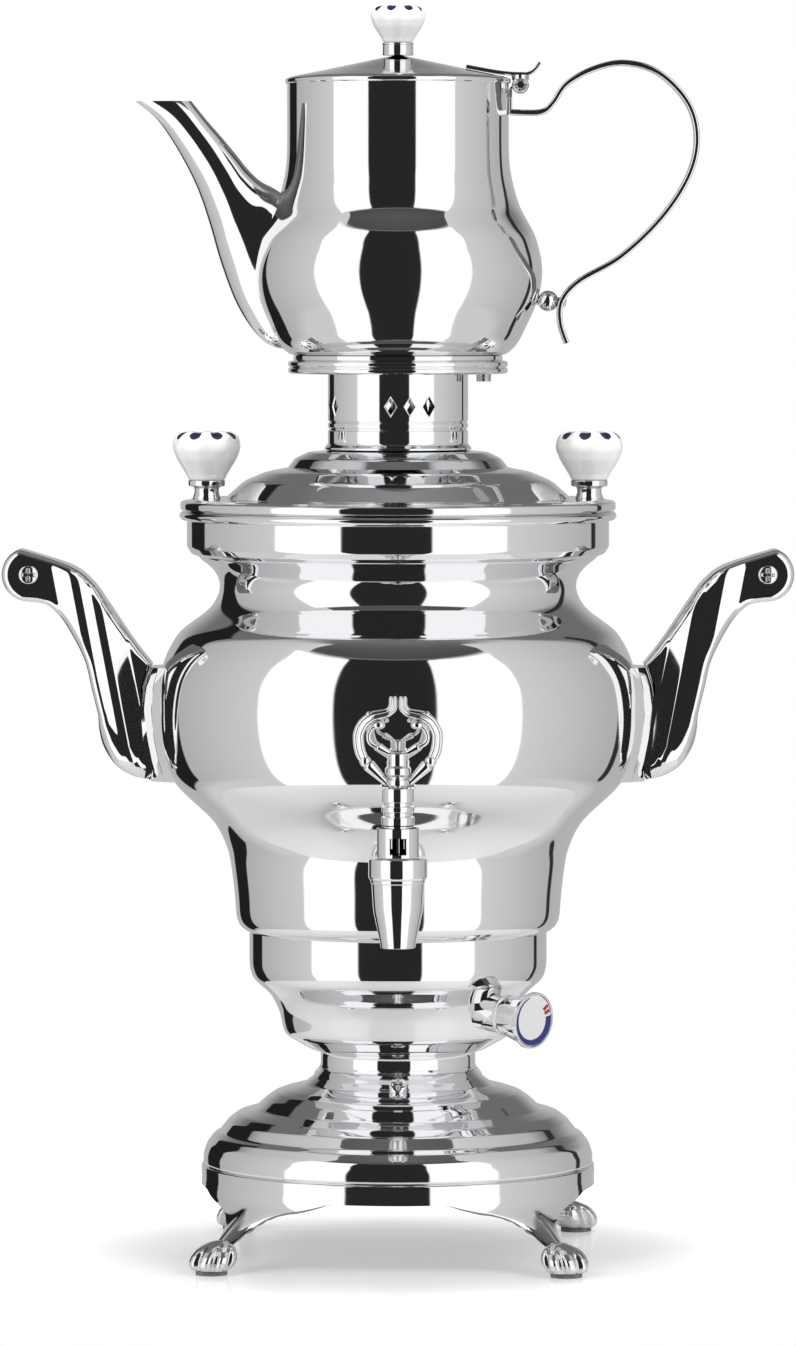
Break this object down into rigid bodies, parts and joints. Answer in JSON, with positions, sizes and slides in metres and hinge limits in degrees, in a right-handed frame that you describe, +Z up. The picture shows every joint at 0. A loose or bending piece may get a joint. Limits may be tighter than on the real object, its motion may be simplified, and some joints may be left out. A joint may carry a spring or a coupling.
{
  "type": "electric samovar",
  "caption": "Polished electric samovar: round tank on a stepped base with lion paws, horn handles, front tap, thermostat knob, lid with crown, and a teapot on top.",
  "frame": {"origin": "where the samovar's vertical axis meets the table, in the plane of the four sole pads", "axes": "+Z up; -Y towards the tap, which is the front; +X to the right seen from the front, towards the teapot's handle"},
  "size_m": [0.3164, 0.2222, 0.4998],
  "materials": {
    "chrome": "mirror-polished nickel-chrome plate",
    "steel": "plain zinc-coated steel",
    "element_sheath": "dark heat-tinted sheath",
    "brass": "turned",
    "porcelain": "white glaze with dark blue petals",
    "steatite": "unglazed",
    "moulding": "moulded",
    "gland_plastic": "moulded",
    "dial_face": "light grey with a blue arc and red marks",
    "rubber": "matte"
  },
  "bodies": {
    "root": {"foot_ring": "chrome", "paw_feet": "chrome", "foot_pads": "rubber", "bottom_plate": "steel", "base_dome": "chrome", "dome_screws": "chrome", "neck_ring": "chrome", "tie_rod": "steel", "tie_nut": "steel", "heater_housing": "chrome", "tank_shell": "chrome", "tank_floor": "steel", "heater_plate": "steel", "heating_element": "element_sheath", "thermal_cutout": "moulding", "sensor_bulb": "steel", "terminal_block": "steatite", "thermostat_body": "moulding", "thermostat_collar": "chrome", "cord_gland": "gland_plastic", "gland_nut": "gland_plastic", "collar_band": "chrome", "left_handle_front": "chrome", "left_handle_rear": "chrome", "right_handle_front": "chrome", "right_handle_rear": "chrome", "left_bracket": "chrome", "right_bracket": "chrome", "handle_screws": "chrome", "handle_bolts": "steel", "tap_body": "chrome", "tap_rosette": "chrome", "tap_seal": "rubber", "tap_nut": "brass", "tap_bonnet": "chrome", "tap_nozzle": "chrome"},
    "thermostat_dial": {"thermostat_shaft": "steel", "thermostat_knob": "chrome", "dial_insert": "dial_face"},
    "tap_handle": {"tap_rod": "brass", "tap_key": "chrome"},
    "lid": {"lid_shell": "chrome", "lid_knobs": "porcelain", "lid_ferrules": "chrome", "lid_studs": "steel", "lid_nuts": "steel"},
    "crown": {"crown_tube": "chrome", "pot_ring": "chrome", "ring_tab": "steel"},
    "teapot": {"teapot_body": "chrome", "teapot_foot": "chrome", "teapot_spout": "chrome", "teapot_handle": "chrome", "handle_ball": "chrome", "hinge_bracket": "chrome", "hinge_pin": "chrome"},
    "teapot_lid": {"teapot_lid": "chrome", "pot_knob": "porcelain", "pot_knob_ferrule": "chrome", "pot_knob_stud": "steel"}
  },
  "joints": [
    {"name": "thermostat_turn", "type": "hinge", "parent": "root", "child": "thermostat_dial", "pos_m": [0.03424, -0.03307, 0.1005], "axis": [0.7176, -0.693, -0.0698], "range_deg": [0, 270]},
    {"name": "tap_turn", "type": "hinge", "parent": "root", "child": "tap_handle", "pos_m": [0, -0.11507, 0.1955], "axis": [0, 0, 1], "range_deg": [0, 90]},
    {"name": "lid_lift", "type": "slide", "parent": "root", "child": "lid", "axis": [0, 0, 1], "range_m": [0, 0.08]},
    {"name": "crown_lift", "type": "slide", "parent": "lid", "child": "crown", "axis": [0, 0, 1], "range_m": [0, 0.05]},
    {"name": "teapot_lift", "type": "slide", "parent": "crown", "child": "teapot", "axis": [0, 0, 1], "range_m": [0, 0.06]},
    {"name": "teapot_lid_hinge", "type": "hinge", "parent": "teapot", "child": "teapot_lid", "pos_m": [0.0488, 0, 0.468], "axis": [0, 1, 0], "range_deg": [0, 75]}
  ]
}
